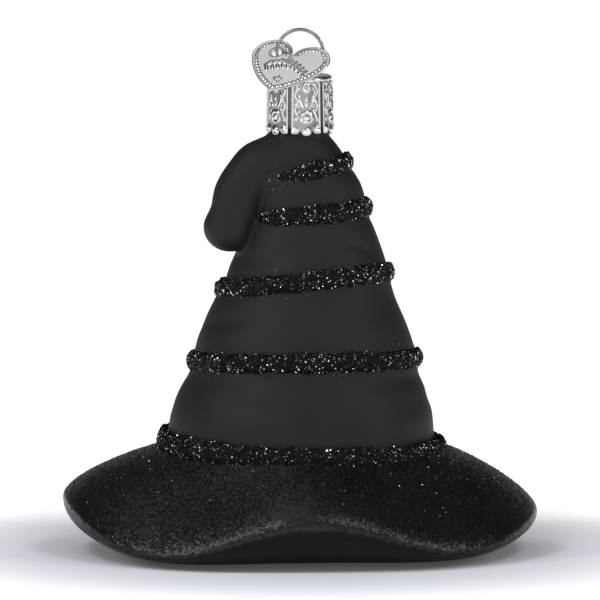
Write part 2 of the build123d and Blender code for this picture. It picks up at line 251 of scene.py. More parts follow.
def crown_profile(height):
    """Radius share and drift at a share of the crown's height."""
    rows, last = CROWN_STATIONS, len(CROWN_STATIONS) - 1
    i = next(n for n in range(last) if height <= rows[n + 1][0] or n == last - 1)
    span = rows[i + 1][0] - rows[i][0]
    t = (height - rows[i][0]) / span
    values = []
    for column in (1, 2):
        slopes = []
        for n in (i, i + 1):
            low, high = rows[max(n - 1, 0)], rows[min(n + 1, last)]
            slopes.append((high[column] - low[column]) / (high[0] - low[0]) * span)
        start, stop = rows[i][column], rows[i + 1][column]
        values.append(
            start * (1 + 2 * t) * (1 - t) ** 2 + slopes[0] * t * (1 - t) ** 2
            + stop * t * t * (3 - 2 * t) + slopes[1] * t * t * (t - 1)
        )
    return values


def crown_radius(share, turn):
    foot = ellipse_radius(CROWN_WIDTH, CROWN_DEPTH, turn)
    return NECK_RADIUS + (foot - NECK_RADIUS) * share


def fold_depth(turn, z):
    """How far the crown is pressed in by its folds."""
    degrees = np.degrees(turn) % 360
    depth = np.zeros_like(degrees)
    for centre, level, wide, tall, slant, deep in CROWN_FOLDS:
        off = (degrees - centre + 180) % 360 - 180
        across = z - level - slant * off
        depth += deep * np.exp(-((off / wide) ** 2)) * np.exp(-((across / tall) ** 2))
    return depth


def polar(turn, radius, z, drift=0.0):
    level = np.broadcast_to(z, turn.shape)
    return np.stack([drift + radius * np.cos(turn), radius * np.sin(turn), level], axis=1)


def hat_rows(columns, fine):
    """Rings of the hat's outside from neck to foot, with each ring's part of the hat."""
    turn = np.arange(columns) * tau / columns
    rows, parts = [], []
    for z in np.linspace(NECK_TOP_Z, SHOULDER_Z, 8 * fine, endpoint=False):
        rows.append(polar(turn, np.full(columns, NECK_RADIUS), z))
        parts.append("neck")
    for height in np.linspace(1, 0, 60 * fine):
        share, drift = crown_profile(height)
        z = CROWN_FOOT_Z + (SHOULDER_Z - CROWN_FOOT_Z) * height
        rows.append(polar(turn, crown_radius(share, turn) - fold_depth(turn, z), z, drift))
        parts.append("crown")
    crown = ellipse_radius(CROWN_WIDTH, CROWN_DEPTH, turn)
    edge = ellipse_radius(BRIM_WIDTH, BRIM_DEPTH, turn)
    foot = ellipse_radius(FOOT_WIDTH, FOOT_DEPTH, turn)
    edge_z, fall = brim_wave(turn)
    top = [
        (crown, CROWN_FOOT_Z),
        (crown + (edge - crown) * 0.42, CROWN_FOOT_Z + (edge_z - CROWN_FOOT_Z) * fall),
        (edge, edge_z + EDGE_ROUND),
        (edge, edge_z),
    ]
    under = [(edge, edge_z), (edge, edge_z / 2), (foot + (edge - foot) * 0.75, 0), (foot, 0)]
    for part, poles, steps in (("brim", top, 24 * fine), ("underside", under, 26 * fine)):
        for t in np.arange(1, steps + 1) / steps:
            weights = ((1 - t) ** 3, 3 * t * (1 - t) ** 2, 3 * t * t * (1 - t), t**3)
            radius = sum(w * p[0] for w, p in zip(weights, poles))
            z = sum(w * p[1] for w, p in zip(weights, poles))
            drift = CROWN_STATIONS[0][2] * (1 - t) if part == "brim" else 0.0
            rows.append(polar(turn, radius, z, drift))
            parts.append((part, t))
    return np.array(rows), parts


def moved_in(rows, wall):
    """Rings moved in by the wall, square to the surface."""
    down = np.roll(rows, -1, axis=0) - np.roll(rows, 1, axis=0)
    down[0], down[-1] = rows[1] - rows[0], rows[-1] - rows[-2]
    around = np.roll(rows, -1, axis=1) - np.roll(rows, 1, axis=1)
    normal = np.cross(around, down)
    return rows + normal / np.linalg.norm(normal, axis=2, keepdims=True) * wall


def smooth_path(stops, steps):
    """Points through the stops by a Catmull-Rom curve."""
    stops = np.asarray(stops, dtype=float)
    padded = np.vstack([2 * stops[0] - stops[1], stops, 2 * stops[-1] - stops[-2]])
    path = []
    for i in range(len(stops) - 1):
        p0, p1, p2, p3 = padded[i : i + 4]
        for t in np.arange(steps) / steps:
            path.append(
                0.5 * (2 * p1 + (p2 - p0) * t + (2 * p0 - 5 * p1 + 4 * p2 - p3) * t**2
                       + (3 * p1 - p0 - 3 * p2 + p3) * t**3)
            )
    path.append(stops[-1])
    return np.array(path)


def tip_rows(thinner, columns, steps):
    """Rings of the drooping tip with a rounded end."""
    path = smooth_path(TIP_SECTIONS[:-1], steps)
    centres, sizes = path[:, :3], path[:, 3] - thinner
    end_axis = np.array(TIP_END) - np.array(TIP_SECTIONS[-2][:3])
    end_axis /= np.linalg.norm(end_axis)
    reach = sizes[-1] * 0.93
    rows = []
    for i, (centre, size) in enumerate(zip(centres, sizes)):
        along = centres[min(i + 1, len(centres) - 1)] - centres[max(i - 1, 0)]
        if i == len(centres) - 1:
            along = end_axis
        rows.append((centre, size, along / np.linalg.norm(along)))
    for step in range(1, 3 * steps):
        lift = step / (3 * steps) * pi / 2
        rows.append((centres[-1] + end_axis * reach * sin(lift), sizes[-1] * cos(lift), end_axis))
    turn = np.arange(columns) * tau / columns
    rings = []
    for centre, size, along in rows:
        side = np.cross(along, (0, 1, 0))
        side /= np.linalg.norm(side)
        other = np.cross(along, side)
        rings.append(centre + size * (np.outer(np.cos(turn), side) - np.outer(np.sin(turn), other)))
    return rings


def blown_glass():
    """The glass blank: hat and drooping tip run together, hollow and open at the neck."""
    rows, parts = hat_rows(360, 3)
    hat = mesh_object("hat", *closed_rings(rows))
    tip = mesh_object("tip", *closed_rings(tip_rows(0.0, 72, 8)))
    face_outwards(hat)
    face_outwards(tip)
    hat_tree, tip_tree = tree_of(hat), tree_of(tip)
    columns = rows.shape[1]

    both = bmesh.new()
    both.from_mesh(hat.data)
    both.from_mesh(tip.data)
    both.transform(Matrix.Scale(1 / MM, 4))
    skin = bpy.data.objects.new("skin", bpy.data.meshes.new("skin"))
    both.to_mesh(skin.data)
    both.free()
    bpy.context.scene.collection.objects.link(skin)
    modifier = skin.modifiers.new("one skin", "REMESH")
    modifier.mode, modifier.voxel_size, modifier.use_smooth_shade = "VOXEL", SKIN_VOXEL, True
    skin = evaluated_copy(skin, "skin")
    bpy.data.objects.remove(hat)
    bpy.data.objects.remove(tip)

    # every point goes back onto the true surface; hat and tip flow into each other at the shoulder
    for vertex in skin.data.vertices:
        point = vertex.co.copy()
        for _ in range(3):
            on_hat, hat_normal, _, _ = hat_tree.find_nearest(point)
            hat_gap = (point - on_hat).dot(hat_normal)
            if point.x > 4 or point.z < 54:
                point = on_hat
                break
            on_tip, tip_normal, _, _ = tip_tree.find_nearest(point)
            tip_gap = (point - on_tip).dot(tip_normal)
            blend = 0.9 + 2.8 * min(max((point.z - 68) / 7, 0), 1)
            share = min(max(0.5 + 0.5 * (tip_gap - hat_gap) / blend, 0), 1)
            gap = tip_gap + (hat_gap - tip_gap) * share - blend * share * (1 - share)
            point = point - (tip_normal.lerp(hat_normal, share)).normalized() * gap
        vertex.co = point
    crease = bmesh.new()
    crease.from_mesh(skin.data)
    near = [
        v for v in crease.verts
        if v.co.x < 2.5 and 54 < v.co.z < 79.5
        and tip_tree.find_nearest(v.co)[3] < CREASE_REACH
        and hat_tree.find_nearest(v.co)[3] < CREASE_REACH
    ]
    every_way = {"use_axis_x": True, "use_axis_y": True, "use_axis_z": True}
    for _ in range(6):
        bmesh.ops.smooth_vert(crease, verts=near, factor=0.5, **every_way)
    crease.to_mesh(skin.data)
    crease.free()
    inner_rows, _ = hat_rows(128, 1)
    inner = moved_in(inner_rows, GLASS_WALL)
    inner[0, :, 2] = NECK_TOP_Z + 1
    for rings in (inner, tip_rows(GLASS_WALL, 40, 3)):
        skin = cut_rings(skin, rings, "skin")
    in_metres(skin)

    # where each point lies on the hat, for its paint
    paint_fields = {"brim_paint": [], "brim_top": [], "bare_glass": [], "neck_glass": [], "under": []}
    for vertex in skin.data.vertices:
        point = vertex.co / MM
        where, normal, face, _ = hat_tree.find_nearest(point)
        part = parts[min(face // columns, len(parts) - 1)]
        kind, t = part if isinstance(part, tuple) else (part, 0.0)
        rolled_under = max(0.0, 1 - t / 0.34) if kind == "underside" else 0.0
        paint_fields["brim_paint"].append(1.0 if kind == "brim" else rolled_under)
        front = max(0.0, -sin(math.atan2(point.y, point.x)))
        thin = min(1.0, max(0.06, (0.80 - t) / (0.25 + 0.2 * front)))
        at_edge = 0.06 if kind == "underside" and t < 0.12 else 0.0
        paint_fields["brim_top"].append(thin if kind == "brim" else at_edge)
        inner = (where - point).dot(normal) > INSIDE_DEPTH
        if inner and point.x < 2 and point.z > 54:
            on_tip, tip_normal, _, _ = tip_tree.find_nearest(point)
            inner = (on_tip - point).dot(tip_normal) > INSIDE_DEPTH
        paint_fields["bare_glass"].append(1.0 if inner else 0.0)
        paint_fields["under"].append(1.0 if kind == "underside" else 0.0)
        under_cap = kind == "neck" and not inner and point.z > CAP_FOOT_Z + 1.6
        paint_fields["neck_glass"].append(1.0 if under_cap else 0.0)
    for name, values in paint_fields.items():
        store(skin, name, values)
    return skin


# ------------------------------------------------------------------ finishes
def new_finish(name):
    finish = bpy.data.materials.new(name)
    finish.use_nodes = True
    tree = finish.node_tree
    return finish, tree, tree.nodes["Principled BSDF"]


def attribute(tree, name):
    """A stored value, by name."""
    return add(tree, "ShaderNodeAttribute", {"attribute_name": name}).outputs["Fac"]


def clouds(tree, place, scale, detail):
    """Noise whose patches are about 1 / scale metres across."""
    settings = {"Scale": scale, "Detail": detail}
    return add(tree, "ShaderNodeTexNoise", settings, {"Vector": place}).outputs["Fac"]


def ranged(tree, value, low, high, start=0.0, stop=1.0, ease="LINEAR"):
    """Maps start to stop on to low to high."""
    settings = {"interpolation_type": ease, 1: start, 2: stop, 3: low, 4: high}
    return add(tree, "ShaderNodeMapRange", settings, {0: value}).outputs[0]


def worked(tree, operation, first, second):
    """Two sockets worked into one by a sum."""
    return add(tree, "ShaderNodeMath", {"operation": operation}, {0: first, 1: second}).outputs[0]


def bumped(tree, strength, links):
    """Normal with a relief 0.1 mm high at most."""
    return add(tree, "ShaderNodeBump", {"Strength": strength, "Distance": 0.0001}, links).outputs[0]


def mixed(tree, factor, first, second):
    """Colour between two, by a factor; either may be a socket or a linear colour."""
    mix = add(tree, "ShaderNodeMix", {"data_type": "RGBA"})
    for index, value in ((0, factor), (6, first), (7, second)):
        if isinstance(value, bpy.types.NodeSocket):
            tree.links.new(value, mix.inputs[index])
        else:
            mix.inputs[index].default_value = value
    return mix.outputs[2]


def lacquered_glass():
    """Blown glass sprayed with lacquer: a dull charcoal coat on crown and underside, a wet gloss
    black coat with fine glitter dust on the brim."""
    finish, tree, shader = new_finish("lacquered_blown_glass")
    place = add(tree, "ShaderNodeTexCoord").outputs["Object"]
    brim = attribute(tree, "brim_paint")
    bare = attribute(tree, "bare_glass")
    dust = attribute(tree, "brim_top")
    neck = attribute(tree, "neck_glass")
    under = attribute(tree, "under")
    # cloudy spray coat, patches of 6 mm
    cloud = clouds(tree, place, 160.0, 4.0)
    # overspray grain, 0.25 mm
    grain = clouds(tree, place, 4200.0, 2.0)
    edge_noise = clouds(tree, place, 450.0, 2.0)
    wander = add(tree, "ShaderNodeMath", {"operation": "MULTIPLY_ADD", 1: 0.5, 2: -0.25}, {0: edge_noise})
    shifted = worked(tree, "ADD", brim, wander.outputs[0])
    gloss = ranged(tree, shifted, 0.0, 1.0, 0.42, 0.58)
    dusty = worked(tree, "MULTIPLY", gloss, dust)
    charcoal = mixed(tree, cloud, linear("#17161d"), linear("#1f1b1b"))
    black = mixed(tree, cloud, linear("#08080a"), linear("#15110e"))
    colour = mixed(tree, gloss, charcoal, black)
    # glitter dust in the gloss coat: cells of 0.3 mm, each a flake that lies its own way
    cells = add(tree, "ShaderNodeTexVoronoi", {"Scale": 3300.0}, {"Vector": place})
    pick = add(tree, "ShaderNodeSeparateColor", {}, {0: cells.outputs["Color"]})
    chosen = add(tree, "ShaderNodeMath", {"operation": "GREATER_THAN", 1: 0.90}, {0: pick.outputs[0]})
    on_brim = worked(tree, "MULTIPLY", chosen.outputs[0], dusty)
    colour = mixed(tree, on_brim, colour, linear("#303032"))
    colour = mixed(tree, bare, colour, linear("#b4b7ba"))
    colour = mixed(tree, neck, colour, linear("#b5a89c"))
    tree.links.new(colour, shader.inputs["Base Color"])
    tree.links.new(worked(tree, "MAXIMUM", on_brim, bare), shader.inputs["Metallic"])
    dull = ranged(tree, grain, 0.52, 0.66)
    wet = ranged(tree, cloud, 0.26, 0.36)
    rough = add(tree, "ShaderNodeMix", {}, {0: gloss, 2: dull, 3: wet}).outputs[0]
    rough = add(tree, "ShaderNodeMix", {3: 0.12}, {0: bare, 2: rough}).outputs[0]
    tree.links.new(rough, shader.inputs["Roughness"])
    geometry = add(tree, "ShaderNodeNewGeometry")
    centred = {"operation": "SUBTRACT", 1: (0.5, 0.5, 0.5)}
    lean = add(tree, "ShaderNodeVectorMath", centred, {0: cells.outputs["Color"]})
    sway = worked(tree, "MULTIPLY", ranged(tree, dust, 0.30, 0.36), gloss)
    lean = add(tree, "ShaderNodeVectorMath", {"operation": "SCALE"}, {0: lean.outputs[0], "Scale": sway})
    tilted = add(tree, "ShaderNodeVectorMath", {"operation": "ADD"},
                 {0: geometry.outputs["Normal"], 1: lean.outputs[0]})
    tilted = add(tree, "ShaderNodeVectorMath", {"operation": "NORMALIZE"}, {0: tilted.outputs[0]})
    ripple = bumped(tree, 0.10, {"Height": grain, "Normal": tilted.outputs[0]})
    tree.links.new(ripple, shader.inputs["Normal"])
    shader.inputs["IOR"].default_value = 1.5
    level = worked(tree, "MULTIPLY", ranged(tree, gloss, 0.25, 0.36), ranged(tree, under, 1.0, 0.40))
    tree.links.new(level, shader.inputs["Specular IOR Level"])
    return finish


def glitter_glue():
    """Black craft glue that the flakes are bedded in: dark, a little wet."""
    finish, tree, shader = new_finish("black_glitter_glue")
    place = add(tree, "ShaderNodeTexCoord").outputs["Object"]
    lumps = clouds(tree, place, 2500.0, 3.0)
    shader.inputs["Base Color"].default_value = linear("#0a0a0b")
    shader.inputs["Specular IOR Level"].default_value = 0.12
    tree.links.new(ranged(tree, lumps, 0.50, 0.75), shader.inputs["Roughness"])
    tree.links.new(bumped(tree, 0.4, {"Height": lumps}), shader.inputs["Normal"])
    return finish


def foil_flakes(name, dark, middle, bright):
    """Flakes cut from metallised film: mirror-like, mostly black with a few silvery ones."""
    finish, tree, shader = new_finish(name)
    tone = attribute(tree, "flake_tone")
    ramp = add(tree, "ShaderNodeValToRGB", {}, {0: tone})
    stops = ramp.color_ramp.elements
    stops[0].position, stops[0].color = 0.0, linear(dark)
    stops[1].position, stops[1].color = 1.0, linear(bright)
    for place, colour in ((0.58, dark), (0.70, middle), (0.82, middle), (0.86, bright)):
        stop = stops.new(place)
        stop.color = linear(colour)
    tree.links.new(ramp.outputs[0], shader.inputs["Base Color"])
    shader.inputs["Metallic"].default_value = 1.0
    shader.inputs["Roughness"].default_value = 0.20
    return finish


def stamped_tinplate():
    """Thin tin-plated sheet, stamped: bright on the raised lines, with painted shade that turns the flat
    field and the hollows grey.
    """
    finish, tree, shader = new_finish("stamped_tinplate")
    place = add(tree, "ShaderNodeTexCoord").outputs["Object"]
    hollow = attribute(tree, "hollow")
    wear = clouds(tree, place, 900.0, 5.0)
    plate = mixed(tree, wear, linear("#d8d6d6"), linear("#efedec"))
    # painted shade: the hollow mask darkens the plate to grey where the stamping is low
    colour = mixed(tree, hollow, plate, linear("#9b9a9b"))
    tree.links.new(colour, shader.inputs["Base Color"])
    tree.links.new(ranged(tree, wear, 0.14, 0.28), shader.inputs["Roughness"])
    shader.inputs["Metallic"].default_value = 1.0
    tree.links.new(bumped(tree, 0.15, {"Height": wear}), shader.inputs["Normal"])
    return finish


def nickel_wire():
    """Drawn spring wire with a nickel finish: smooth and mirror-like, with faint draw marks."""
    finish, tree, shader = new_finish("nickel_plated_spring_wire")
    place = add(tree, "ShaderNodeTexCoord").outputs["Object"]
    marks = clouds(tree, place, 5000.0, 2.0)
    tree.links.new(ranged(tree, marks, 0.20, 0.32), shader.inputs["Roughness"])
    shader.inputs["Base Color"].default_value = linear("#8b8d8d")
    shader.inputs["Metallic"].default_value = 1.0
    return finish


# ------------------------------------------------------------------ glitter, scattered by Geometry Nodes
def scatter_tree(name, keep_base, sides):
    """Flakes over a surface: flat chips with so many sides, each with its own lean and tone."""
    tree = bpy.data.node_groups.new(name, "GeometryNodeTree")
    face = tree.interface
    face.new_socket("Geometry", in_out="INPUT", socket_type="NodeSocketGeometry")
    for label, kind in (
        ("Flakes per square metre", "NodeSocketFloat"), ("Flake width", "NodeSocketFloat"),
        ("Flake thickness", "NodeSocketFloat"), ("Smallest share", "NodeSocketFloat"),
        ("Lean", "NodeSocketFloat"), ("Seed", "NodeSocketInt"), ("Flake finish", "NodeSocketMaterial"),
    ):
        face.new_socket(label, in_out="INPUT", socket_type=kind)
    face.new_socket("Geometry", in_out="OUTPUT", socket_type="NodeSocketGeometry")
    given = add(tree, "NodeGroupInput").outputs
    field = add(tree, "GeometryNodeInputNamedAttribute", {"data_type": "FLOAT", "Name": "flake_field"})
    density = worked(tree, "MULTIPLY", field.outputs["Attribute"], given["Flakes per square metre"])
    points = add(tree, "GeometryNodeDistributePointsOnFaces", {"distribute_method": "RANDOM"},
                 {"Mesh": given["Geometry"], "Density": density, "Seed": given["Seed"]})
    half = add(tree, "ShaderNodeMath", {"operation": "MULTIPLY", 1: 0.5}, {0: given["Flake width"]})
    flake = add(tree, "GeometryNodeMeshCylinder", {"fill_type": "NGON", "Vertices": sides},
                {"Radius": half.outputs[0], "Depth": given["Flake thickness"]})
    minus = add(tree, "ShaderNodeMath", {"operation": "MULTIPLY", 1: -1.0}, {0: given["Lean"]})
    low = add(tree, "ShaderNodeCombineXYZ", {}, {0: minus.outputs[0], 1: minus.outputs[0]})
    high = add(tree, "ShaderNodeCombineXYZ", {2: tau}, {0: given["Lean"], 1: given["Lean"]})
    lean = add(tree, "FunctionNodeRandomValue", {"data_type": "FLOAT_VECTOR"},
               {0: low.outputs[0], 1: high.outputs[0], "Seed": given["Seed"]})
    as_turn = add(tree, "FunctionNodeEulerToRotation", {}, {0: lean.outputs[0]})
    turned = add(tree, "FunctionNodeRotateRotation", {"rotation_space": "LOCAL"},
                 {0: points.outputs["Rotation"], 1: as_turn.outputs[0]})
    size = add(tree, "FunctionNodeRandomValue", {"data_type": "FLOAT", 3: 1.0},
               {2: given["Smallest share"], "Seed": given["Seed"]})
    flakes = add(tree, "GeometryNodeInstanceOnPoints", {},
                 {"Points": points.outputs["Points"], "Instance": flake.outputs["Mesh"],
                  "Rotation": turned.outputs[0], "Scale": size.outputs[1]})
    tone = add(tree, "FunctionNodeRandomValue", {"data_type": "FLOAT", "Seed": 7})
    toned = add(tree, "GeometryNodeStoreNamedAttribute",
                {"data_type": "FLOAT", "domain": "INSTANCE", "Name": "flake_tone"},
                {"Geometry": flakes.outputs[0], "Value": tone.outputs[1]})
    real = add(tree, "GeometryNodeRealizeInstances", {}, {0: toned.outputs[0]})
    finished = add(tree, "GeometryNodeSetMaterial", {},
                   {"Geometry": real.outputs[0], "Material": given["Flake finish"]})
    result = finished.outputs[0]
    if keep_base:
        joined = add(tree, "GeometryNodeJoinGeometry", {}, {0: result})
        tree.links.new(given["Geometry"], joined.inputs[0])
        result = joined.outputs[0]
    add(tree, "NodeGroupOutput", {}, {0: result})
    return tree


def scattered(piece, tree, values, name):
    """The piece with its flakes, as a plain mesh; values are set by socket identifier."""
    modifier = piece.modifiers.new("glitter", "NODES")
    modifier.node_group = tree
    for item in tree.interface.items_tree:
        if item.item_type == "SOCKET" and item.in_out == "INPUT" and item.name in values:
            modifier[item.identifier] = values[item.name]
    return evaluated_copy(piece, name)


def bead_line(height, to_right, to_front, proud, count):
    """Centre line of a bead round the crown."""
    middle = CROWN_FOOT_Z + (SHOULDER_Z - CROWN_FOOT_Z) * height
    centres = []
    for angle in np.arange(count) * tau / count:
        z = middle + to_right * cos(angle) - to_front * sin(angle)
        share, drift = crown_profile((z - CROWN_FOOT_Z) / (SHOULDER_Z - CROWN_FOOT_Z))
        radius = float(crown_radius(share, np.array([angle]))[0]) + proud
        centres.append((drift + radius * cos(angle), radius * sin(angle), z))
    return np.array(centres)


def bead_core(name, course, thins, glass):
    """A lumpy bead of glue wound round the crown."""
    share, _ = crown_profile(course[0])
    # the lowest bead spreads on to the brim
    tall = BEAD_HALF_HEIGHT + (0.20 if course[3] > 0 else -0.18)
    count, around = int(tau * float(crown_radius(share, np.array([0.0]))[0]) / 0.36), 26
    centres = bead_line(*course, count)
    along = np.roll(centres, -1, axis=0) - np.roll(centres, 1, axis=0)
    along /= np.linalg.norm(along, axis=1, keepdims=True)
    side = np.cross(along, (0, 0, 1))
    side /= np.linalg.norm(side, axis=1, keepdims=True)
    up = np.cross(side, along)
    points = []
    for n, (centre, s, u) in enumerate(zip(centres, side, up)):
        size, degrees = 1.0, n * 360 / count
        if thins and thins[0] - 25 < degrees < thins[1]:
            size = 0.30 + 0.70 * min(max((degrees - thins[0]) / (thins[1] - thins[0]), 0), 1) ** 0.7
        swell = 1 + 0.22 * noise.noise(Vector(centre) * 0.33) + 0.20 * noise.noise(Vector(centre) * 0.9)
        for k in range(around):
            angle = k * tau / around
            out = s * cos(angle) * (BEAD_HALF_DEPTH - 0.20) + u * sin(angle) * tall
            coarse = noise.noise(Vector(centre + out) * 0.8)
            fine = noise.noise(Vector(centre + out * 2) * 1.9)
            lump = 1 + 0.24 * coarse + 0.10 * fine
            points.append(centre + out * (min(lump * swell, 1.18) * size))
    core = mesh_object(name, points, grid_faces(count, around, closed_rows=True))
    face_outwards(core)
    field = []
    for vertex in core.data.vertices:
        where, normal, _, _ = glass.find_nearest(vertex.co / MM)
        field.append(1.0 if (vertex.co / MM - where).dot(normal) > -0.12 else 0.0)
    store(core, "flake_field", field)
    return core


# ------------------------------------------------------------------ cap
PETALS = 6
PETAL_PITCH = tau * CAP_INNER / PETALS
PETAL_HALF = PETAL_PITCH / 2 - 0.25
PETAL_TURN = 11.5
SLOT_TOP_Z = CAP_TOP_Z - 0.8
SCALLOP = 0.95
SIDE_SCALLOP = PETAL_PITCH / 2 - 0.25 - SCALLOP * 0.8


def petal_foot(x):
    """Height of the scalloped lower edge at x across a petal."""
    lows = []
    for centre, level in ((-SIDE_SCALLOP, SCALLOP * 1.35), (0.0, SCALLOP), (SIDE_SCALLOP, SCALLOP * 1.35)):
        inside = SCALLOP**2 - (x - centre) ** 2
        if inside > 0:
            lows.append(level - sqrt(inside))
    return CAP_FOOT_Z + (min(lows) if lows else SCALLOP)


def ridge(distance, width):
    return math.exp(-((distance / width) ** 2))


def petal_relief(x, z):
    """Height of the stamping at x across and z up a petal: ribs, waved line, rings, tulip, beads."""
    level, ax = z - CAP_FOOT_Z, abs(x)
    relief = 0.22 * ridge(ax - (PETAL_HALF - 0.22), 0.17)
    wave = 1.82 + 0.20 * sin(level * tau / 2.75 + (0.6 if x > 0 else 2.2))
    relief += 0.20 * ridge(ax - wave, 0.15) * (level > 2.9)
    # oval at the top, round boss at the bottom
    to_oval, to_boss = math.hypot(x, level - 9.25), math.hypot(x, level - 3.5)
    oval = 0.20 * ridge(math.hypot(x / 0.72, (level - 9.25) / 1.15) - 0.72, 0.17)
    relief += oval + 0.12 * ridge(to_oval, 0.20)
    relief += 0.20 * ridge(to_boss - 0.98, 0.16) + 0.24 * ridge(to_boss, 0.42)
    # tulip: three petals that open upwards
    up = level - 5.2
    if 0 < up < 2.7:
        cup = 0.30 + 0.85 * sqrt(min(up / 1.5, 1.0)) * (1 + 0.12 * max(up - 1.2, 0))
        relief += 0.20 * ridge(ax - cup, 0.15) * min(1, up / 0.3) * min(1, (2.7 - up) / 0.3)
        relief += 0.22 * ridge(math.hypot(x / 0.36, (up - 1.3) / 1.15) - 0.6, 0.22)
    # slanted marks between the wave and the middle
    for n in range(6):
        mark = 4.7 + n * 1.05
        along = (level - mark) * (1 if n % 2 else -1)
        relief += 0.15 * ridge(ax - 1.36 - 0.35 * along, 0.10) * (abs(level - mark) < 0.36)
    for centre, bead, size in ((0.0, SCALLOP, 0.50), (SIDE_SCALLOP, SCALLOP * 1.35, 0.42)):
        relief = max(relief, 0.34 * ridge(math.hypot(ax - centre, level - bead), size))
    return relief


def petal_cap(finish):
    """Stamped cap: domed top with two wire holes, six slotted and scalloped petals."""
    across, down, gap = 52, 100, 4
    start = -pi / 2 + radians(PETAL_TURN) - pi / PETALS
    angles, places, solid = [], [], []
    half_turn = PETAL_HALF / CAP_INNER
    for petal in range(PETALS):
        middle = start + (petal + 0.5) * tau / PETALS
        for k in range(across + 1):
            share = -1 + 2 * k / across
            angles.append(middle + share * half_turn)
            places.append(share * PETAL_HALF)
            solid.append(k < across)
        for k in range(1, gap):
            angles.append(middle + half_turn + (tau / PETALS - 2 * half_turn) * k / gap)
            places.append(PETAL_HALF)
            solid.append(False)
    columns = len(angles)
    outer = CAP_INNER + CAP_SHEET
    rows, relief = [], []
    profile = [(r, CAP_TOP_Z) for r in (0.35, 0.8, 1.4, 2.0, 2.6, 3.2, 3.8, 4.4, 4.9, 5.3)]
    rim = CAP_RIM_ROUND
    profile += [
        (outer - rim + rim * sin(a), CAP_TOP_Z - rim + rim * cos(a)) for a in np.linspace(0, pi / 2, 9)
    ]
    for radius, z in profile:
        rows.append([(radius * cos(a), radius * sin(a), z) for a in angles])
        relief.append([0.0] * columns)
    for z in np.linspace(CAP_TOP_Z - 0.62, SLOT_TOP_Z, 3):
        rows.append([(outer * cos(a), outer * sin(a), z) for a in angles])
        relief.append([0.0] * columns)
    solid_rows = len(rows)
    for step in range(1, down + 1):
        row, heights = [], []
        for angle, x in zip(angles, places):
            z = SLOT_TOP_Z + (petal_foot(x) - SLOT_TOP_Z) * step / down
            fade = min(1.0, (SLOT_TOP_Z - z) / 0.5)
            height = petal_relief(x, z) * fade
            flare = CAP_FLARE * (SLOT_TOP_Z - z) / (CAP_TOP_Z - CAP_FOOT_Z)
            radius = outer + flare + height * 0.85 - 0.05 * fade
            row.append((radius * cos(angle), radius * sin(angle), z))
            heights.append(height)
        rows.append(row)
        relief.append(heights)
    points = [p for row in rows for p in row]
    points.append((0.0, 0.0, CAP_TOP_Z))
    faces = []
    for i in range(len(rows) - 1):
        for k in range(columns):
            if i < solid_rows - 1 or solid[k]:
                m = (k + 1) % columns
                faces.append((i * columns + k, (i + 1) * columns + k, (i + 1) * columns + m, i * columns + m))
    centre = len(points) - 1
    faces += [(centre, k, (k + 1) % columns) for k in range(columns)]
    cap = mesh_object("cap_sheet", points, faces)
    heights = np.array([h for row in relief for h in row] + [0.0])
    # painted shade: 1 on the petals where the stamped relief is low, 0 on the top and the raised lines
    store(cap, "hollow", np.clip(1 - heights / 0.16, 0, 1) * (np.array([p[2] for p in points]) < SLOT_TOP_Z))
    work = bmesh.new()
    work.from_mesh(cap.data)
    loose = [v for v in work.verts if not v.link_faces]
    bmesh.ops.delete(work, geom=loose, context="VERTS")
    work.to_mesh(cap.data)
    work.free()
    wall = cap.modifiers.new("sheet", "SOLIDIFY")
    wall.thickness, wall.offset = CAP_SHEET * 0.9 * MM, -1
    cap = evaluated_copy(cap, "cap")
    in_millimetres(cap)
    for x in (-LEG_OFFSET, LEG_OFFSET):
        turn = np.arange(24) * tau / 24
        rings = [
            polar(turn, np.full(24, CAP_HOLE_RADIUS), z) + np.array([x, 0, 0])
            for z in (CAP_TOP_Z + 1, CAP_TOP_Z - 1)
        ]
        cap = cut_rings(cap, rings, "ornament_cap_look")
    in_metres(cap)
    cap.data.materials.clear()
    cap.data.materials.append(finish)
    return cap


# ------------------------------------------------------------------ hanger wire
def hanger_path():
    """Centre line of the whole wire in the plane of X and Z, from left toe over the loop to right toe."""
    toe_x = NECK_RADIUS - GLASS_WALL - WIRE_RADIUS - LEG_CLEARANCE
    bend_z, toe_z = CAP_TOP_Z - CAP_SHEET - (PULL_TRAVEL + 0.3), CAP_TOP_Z - LEG_LENGTH
    splay = math.asin(min(0.5, (toe_x - LEG_OFFSET) / (bend_z - toe_z)))
    right = []
    knee_x = LEG_OFFSET + LEG_BEND_RADIUS * (1 - cos(splay))
    knee_z = bend_z - LEG_BEND_RADIUS * sin(splay)
    foot_z = knee_z - (toe_x - knee_x) / sin(splay) * cos(splay)
    for t in np.linspace(0, 1, 14):
        right.append((toe_x + (knee_x - toe_x) * t, foot_z + (knee_z - foot_z) * t))
    for a in np.linspace(splay, 0, 6)[1:]:
        right.append((LEG_OFFSET + LEG_BEND_RADIUS * (1 - cos(a)), bend_z - LEG_BEND_RADIUS * sin(a)))
    start_z = LOOP_Z - LOOP_RISE
    for t in np.linspace(0, 1, 8)[1:]:
        right.append((LEG_OFFSET, bend_z + (start_z - bend_z) * t))
    reach = math.atan2(LOOP_RISE, LEG_OFFSET + LOOP_BEND)
    for a in np.linspace(pi, pi - reach, 16)[1:]:
        right.append((LEG_OFFSET + LOOP_BEND + LOOP_BEND * cos(a), start_z + LOOP_BEND * sin(a)))
    for a in np.linspace(-reach, pi / 2, 60)[1:]:
        right.append((LOOP_RADIUS * cos(a), LOOP_Z + LOOP_RADIUS * sin(a)))
    left = [(-x, z) for x, z in right[:-1]]
    return np.array(left + right[::-1])


